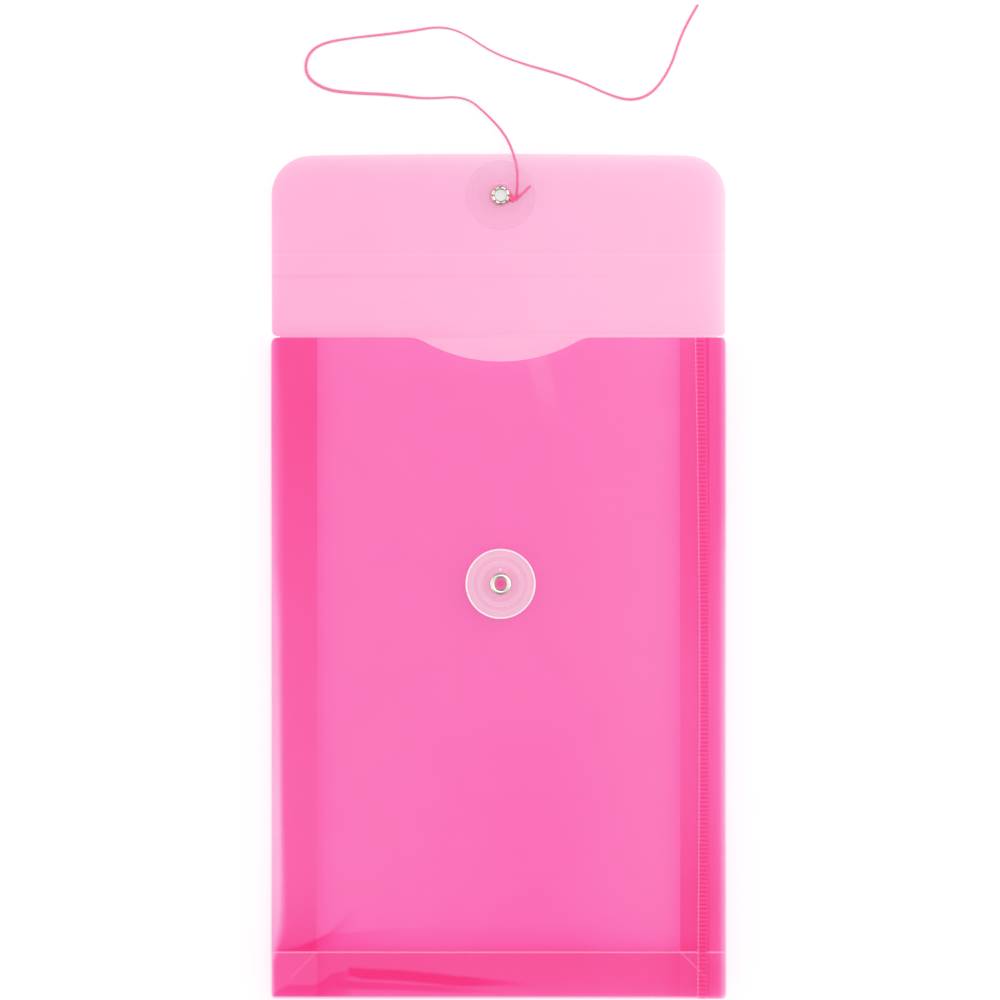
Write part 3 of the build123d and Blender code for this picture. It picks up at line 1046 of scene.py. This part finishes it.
# How the tab's edge bows, by the share of the way down, and where the bow ends
TAB_BOW = [(0.0, -0.0009), (0.17, -0.0004), (0.43, 0.0001), (0.55, 0.0001), (0.78, -0.0001), (1.0, -0.0003)]
BOW_END = 0.0525


def bar_wave(place):
    """From 0 between the weld's bars to 1 on one, along the weld."""
    return (1 + cos(tau * place.y / WELD_PITCH)) / 2


def weld_bar(place):
    """From 0 off the weld's bars to 1 on one."""
    left = ease(place.x, WELD_LEFT, WELD_LEFT + BAR_EDGE)
    right = ease(place.x, WELD_RIGHT, WELD_RIGHT - BAR_EDGE)
    return left * right * bar_wave(place)


def tab_depth(place):
    """The tab's depth of tint, thinner where it laps the panel and deeper on its weld bars."""
    lapped = ease(place.x, front_high.x + CREASE_STEP, front_high.x - CREASE_STEP)
    return (between(lapped, 1, TAB_LAP_DEPTH) + BAR_DEPTH * weld_bar(place)) * rim_depth(place)


def tab_frost(place):
    """The tab's whitened cut edge, dashed as the weld is, the gaps of its weld and the base crease."""
    if place.x > WELD_RIGHT:
        return crease_frost(place)
    edge = line_at(place.x, tab_low.x, *TAB_EDGE_FROST) * (1 - DASH_SHARE * bar_wave(place))
    return edge + BAR_FROST * (place.x > WELD_LEFT) * (1 - weld_bar(place))


def press_weld(place):
    """Presses the weld's bars into the tab's upper face, and bows its edge."""
    bow = along(TAB_BOW, way_down(place))[0] * ease(place.x, BOW_END, WELD_RIGHT)
    dip = WELD_DIP * weld_bar(place) * (place.z > tab_z)
    return place + Vector((bow, 0, -dip))


def make_tab():
    """The tab that laps over the front panel's edge."""
    columns = creased(tab_low.x, half_width - tab_inset, RIM_STEP / 2, [tab_low.x, front_high.x])
    rows = runs(base_y, (mouth_y, WELD_PITCH / BAR_STEPS))
    piece = film_strip("tab_film", [(x, tab_z) for x in columns], rows, flat_place, front_film)
    trim(piece, pocket_outline)
    dress(piece, tab_depth, tab_frost, press_weld)
    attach(piece, "front")
    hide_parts("seam_tab")


make_tab()

# Gusset leaves: each with the fold that joins it to its panel and its half of the inner fold. Where side and
# base leaves meet, the mitre is a light line of this strength and width.
LEFT_MITRE_LIGHT = 0.7
RIGHT_MITRE_LIGHT = 0.95
MITRE_WIDTH = 0.00025

# How deep a side leaf's tint is, by the share of the way down
LEFT_LEAF_DEPTHS = [
    (0.0, 1.75), (0.12, 1.75), (0.25, 1.47), (0.43, 1.09), (0.7, 0.82), (0.81, 0.84), (0.86, 1.03),
    (0.9, 1.25), (0.95, 1.38),
]
RIGHT_LEAF_DEPTHS = [
    (0.0, 1.2), (0.1, 1.45), (0.25, 1.45), (0.55, 0.92), (0.7, 1.07), (0.84, 1.7), (0.935, 1.75),
    (0.96, 2.1),
]

# How deep a base leaf's tint is, by the share of the way from the middle to the right
BASE_LEAF_DEPTHS = [(0.0, 1.48), (0.6, 1.48), (0.78, 1.64), (0.83, 1.95)]


def leaf_line(edge, inward, panel_height, fold_height, inner_height):
    """A leaf in section, from an edge of the pocket inwards."""
    outer = fold_radius(panel_height, fold_height)
    inner = abs(middle_z - inner_height)
    up = 1 if fold_height > panel_height else -1
    inner_depth = gusset_depth - half_sheet - inner
    outer_middle = (outer + half_sheet, (panel_height + fold_height) / 2)
    line = arc(outer_middle, outer, -up * pi / 2, -up * pi * 3 / 2)
    start = Vector(line[-1])
    end = Vector((inner_depth, inner_height))
    length = (end - start).length
    places = runs(0, (length, STRIP_STEP))
    line += [start.lerp(end, place / length) for place in places[1:-1]]
    line += arc((inner_depth, middle_z), inner, -up * pi / 2, 0)
    return [(edge + inward * depth, height) for depth, height in line]


def mitre_depth(place):
    """The share of its depth that a leaf keeps at the mitre of side and base, light in its inner half."""
    side_reach = half_width - abs(place.x)
    base_reach = place.y - base_y
    shown = ease(side_reach, gusset_depth / 3, gusset_depth / 2)
    light = LEFT_MITRE_LIGHT if place.x < 0 else RIGHT_MITRE_LIGHT
    return 1 - shown * line_at(side_reach, base_reach, light, MITRE_WIDTH)


def side_leaf_depth(place):
    """A side leaf's depth of tint, which changes along it."""
    depths = LEFT_LEAF_DEPTHS if place.x < 0 else RIGHT_LEAF_DEPTHS
    return along(depths, way_down(place))[0] * rim_depth(place) * mitre_depth(place)


def base_leaf_depth(place):
    """A base leaf's depth of tint."""
    return along(BASE_LEAF_DEPTHS, place.x / half_width)[0] * rim_depth(place) * mitre_depth(place)


mitre_reach = gusset_depth + sheet


def side_outline(sign):
    """A side gusset from above, mitred at the base."""
    corners = [
        (half_width, base_y, 0),
        (half_width, mouth_y, MOUTH_CORNER),
        (half_width - mitre_reach, mouth_y, 0),
        (half_width - mitre_reach, base_y + mitre_reach, 0),
    ]
    return [(sign * x, y) for x, y in rounded(corners)][::sign]


base_outline = [
    (-half_width, base_y),
    (half_width, base_y),
    (half_width - mitre_reach, base_y + mitre_reach),
    (mitre_reach - half_width, base_y + mitre_reach),
]
side_inner_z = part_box("right_gusset_back_leaf")[1].z - half_sheet
base_inner_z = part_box("bottom_gusset_back_leaf")[1].z - half_sheet
side_rows = runs(base_y, (crease_y, STRIP_STEP), (mouth_y, FINE_STEP))
base_rows = runs(-half_width, (-fold_x, STRIP_STEP), (fold_x, FINE_STEP), (half_width, STRIP_STEP))


def across_place(reach, height, row):
    """A point of a strip that runs across the pocket or the flat flap."""
    return Vector((row, reach, height))


def make_gusset(side, edge, inward, leaf_z, inner_z, front_height, rows, place, outline, depth):
    """The two leaves of a gusset, which bend at their outer folds."""
    back = ("back", back_z, leaf_z, inner_z)
    front = ("front", front_height, opposite(leaf_z), opposite(inner_z))
    for panel, *heights in (back, front):
        node = f"{side}_gusset_{panel}_leaf"
        line = leaf_line(edge, inward, *heights)
        piece = film_strip(node + "_film", line, rows, place, leaf_film)
        trim(piece, outline)
        trim(piece, pocket_outline)
        dress(piece, depth)
        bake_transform(piece)
        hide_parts(node)


for side, sign, front_height in (("left", -1, front_z), ("right", 1, tab_z)):
    side_fit = (sign * half_width, -sign, side_leaf_z, side_inner_z, front_height)
    make_gusset(side, *side_fit, side_rows, flat_place, side_outline(sign), side_leaf_depth)
base_fit = (base_y, 1, base_leaf_z, base_inner_z, front_z)
make_gusset("bottom", *base_fit, base_rows, across_place, base_outline, base_leaf_depth)

# Flap: made flat from its root crease, then leant back on its button
flap_side = flap_length - FLAP_CROWN
crown_reach = half_flap - FLAP_CORNER
crown_corners = [(x, flap_side, 0) for x in runs(-crown_reach, (crown_reach, FLAP_CORNER))[::-1]]
neck = half_flap - MOUTH_CORNER
flap_corners = [
    (-neck, -ROOT_SEAM, 0),
    (neck, -ROOT_SEAM, 0),
    (neck, 0, 0),
    (half_flap, 0, FLAP_ROOT_CORNER),
    (half_flap, flap_side, FLAP_CORNER),
    *crown_corners[1:-1],
    (-half_flap, flap_side, FLAP_CORNER),
    (-half_flap, 0, FLAP_ROOT_CORNER),
    (-neck, 0, 0),
]
flap_outline = [
    (x, y + FLAP_CROWN * (1 - (x / half_flap) ** 2) * ease(y, flap_side - FLAP_CORNER, flap_side))
    for x, y in rounded(flap_corners)
]
scores = [SCORE_PITCH * (k + 1) for k in range(SCORE_COUNT)]
flap_joint = scores[-2]
flap_hole = Vector((flap_button.x, (flap_button.y - half_sheet * sin(flap_tilt) - fold_y) / cos(flap_tilt)))

# Flap tint: its depths at the left and the right, then its shades and lights by their strength and reach.
# It is deeper round the eyelet, and thin towards the right and far edges.
FLAP_DEPTHS = (1.14, 0.95)
FLAP_EDGE_LIGHT = (0.5, 0.0025)
FLAP_TOP_LIGHT = (0.5, 0.0024)
FLAP_LEFT_LIGHT = (0.2, 0.0006)
EYELET_SHADE = (0.22, 0.0042)
DISC_LIGHT = 0.09
DISC_EDGE = 0.0004
ROOT_SHADE = (0.2, 0.001)
ROOT_LIGHT = (0.35, 0.00014)
SCORE_DEPTHS = (-0.06, -0.06, 0.14, -0.16)
EDGE_FROST = (0.1, 0.0022)
PRESS_FROST = 0.6
PRESS_REACH = (0.0031, 0.0024)


def flap_depth(place):
    """The flap's depth of tint, while it is flat."""
    right = ease(place.x, -half_flap, half_flap)
    depth = between(right, *FLAP_DEPTHS)
    depth -= near(half_flap - place.x, *FLAP_EDGE_LIGHT)
    depth -= near(half_flap + place.x, *FLAP_LEFT_LIGHT)
    depth -= near(flap_length - place.y, *FLAP_TOP_LIGHT)
    off_eyelet = (place.xy - flap_hole).length
    depth += line_at(off_eyelet, 0, *EYELET_SHADE)
    depth -= DISC_LIGHT * ease(off_eyelet, disc_radius + DISC_EDGE, disc_radius - DISC_EDGE)
    depth += (1 - right) * near(place.y, *ROOT_SHADE)
    depth -= right * line_at(place.y, 0, *ROOT_LIGHT)
    for score, deeper in zip(scores, SCORE_DEPTHS):
        shown = 1 - right if deeper > 0 else 1
        depth += shown * line_at(place.y, score, deeper, SCORE_WIDTH)
    return depth


def flap_frost(place):
    """The haze at the flap's far edge, and where the eyelet has pressed the film."""
    pressed = ease((place.xy - flap_hole).length, *PRESS_REACH)
    return near(flap_length - place.y, *EDGE_FROST) + PRESS_FROST * pressed


def lean_back(place):
    """Presses the score lines into the flat flap and leans it back."""
    height = place.z - sum(line_at(place.y, score, SCORE_DIP, SCORE_WIDTH) for score in scores)
    if place.y <= 0:
        return Vector((place.x, fold_y + place.y, root.z + height))
    return Vector((place.x, fold_y, root.z)) + flap_run * place.y + flap_up * height


def flap_strip(name, low, high, creases, step):
    """A length of the flat flap, cut to the flap's outline."""
    line = [(y, 0) for y in creased(low, high, step, creases)]
    span = disc_radius + RIM_REACH
    rows = rimmed(half_flap, half_flap - RIM_REACH, flap_hole.x, span)
    piece = film_strip(name, line, rows, across_place, back_film)
    trim(piece, flap_outline)
    return piece


def make_flap():
    """The flap's scored root, and the rest of the flap from its second last score line."""
    spine = flap_strip("flap_root_film", -ROOT_SEAM, flap_joint, [0, *scores[:-2]], FINE_STEP)
    dress(spine, flap_depth, flap_frost, lean_back)
    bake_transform(spine)
    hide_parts("flap_spine")
    piece = flap_strip("flap_film", flap_joint, flap_length, scores[-2:], RIM_STEP)
    trim(piece, hole_outline(flap_hole), "DIFFERENCE")
    dress(piece, flap_depth, flap_frost, lean_back)
    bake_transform(piece)
    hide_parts("flap_panel")


make_flap()

# Buttons and eyelets keep their CAD shapes
for node, material in (
    ("front_button_disc", front_disc_plastic),
    ("flap_button_disc", flap_disc_plastic),
    ("front_button_eyelet", nickel),
    ("flap_button_eyelet", nickel),
):
    slots = frame["nodes"][node].data.materials
    slots.clear()
    slots.append(material)

# Floor, light and world
FLOOR_SIZE = 3.0
FLOOR_DROP = 0.00005
FLOOR_COLOUR = grey(0.405)
FLOOR_LIFT = 0.62


def make_floor():
    """A plain floor, lifted to white where it is seen, which keeps the object's shadow."""
    bm = bmesh.new()
    bmesh.ops.create_grid(bm, x_segments=2, y_segments=2, size=FLOOR_SIZE / 2)
    floor = add_object("floor", bm)
    floor.location.z = -FLOOR_DROP
    material, graph = new_material("floor")
    paper = graph.add("ShaderNodeBsdfDiffuse", {"Color": FLOOR_COLOUR})
    path = graph.add("ShaderNodeLightPath", {}).outputs
    seen = graph.math("MAXIMUM", path["Is Camera Ray"], path["Is Glossy Ray"])
    seen = graph.math("MAXIMUM", seen, path["Is Transmission Ray"])
    lift = graph.add("ShaderNodeEmission", {"Strength": graph.math("MULTIPLY", seen, FLOOR_LIFT)})
    graph.show(graph.add("ShaderNodeAddShader", {0: paper.outputs[0], 1: lift.outputs[0]}))
    floor.data.materials.append(material)


make_floor()

# Light: a world that is brighter at the left and right than at the front and back, one soft lamp, and
# how many clear faces light can pass
WORLD_STRENGTH = 0.83
WORLD_SIDES = 0.95
BACKDROP = 0.85
LAMP_POWER = 2.45
LAMP_SIZE = 0.7
LAMP_PLACE = (0.25, 0.35, 0.9)
CLEAR_FACES = 64


def make_world():
    """Soft light from all round, over a pale backdrop."""
    world = bpy.data.worlds.new("studio")
    scene.world = world
    graph = Graph(world)
    way = graph.add("ShaderNodeTexCoord", {}).outputs["Generated"]
    aim = graph.add("ShaderNodeSeparateXYZ", {0: way}).outputs
    across = graph.math("MULTIPLY", aim["X"], aim["X"])
    deep = graph.math("MULTIPLY", aim["Y"], aim["Y"])
    sides = graph.math("SUBTRACT", across, deep)
    level = graph.math("MULTIPLY_ADD", sides, WORLD_STRENGTH * WORLD_SIDES, WORLD_STRENGTH)
    seen = graph.add("ShaderNodeLightPath", {}).outputs["Is Camera Ray"]
    backdrop = graph.math("MULTIPLY", seen, BACKDROP)
    sky = graph.nodes["Background"]
    sky.inputs["Color"].default_value = grey(1.0)
    graph.link(graph.math("MAXIMUM", level, backdrop), sky.inputs["Strength"])


def make_lamp():
    """A large soft lamp above and behind the object."""
    data = bpy.data.lights.new("key", "AREA")
    data.energy = LAMP_POWER
    data.size = LAMP_SIZE
    lamp = bpy.data.objects.new("key", data)
    lamp.location = LAMP_PLACE
    aim = Vector((*VIEW_MIDDLE, 0)) - lamp.location
    lamp.rotation_euler = aim.to_track_quat("-Z", "Y").to_euler()
    scene.collection.objects.link(lamp)


make_world()
make_lamp()
scene.view_settings.view_transform = "Standard"
scene.cycles.transparent_max_bounces = CLEAR_FACES
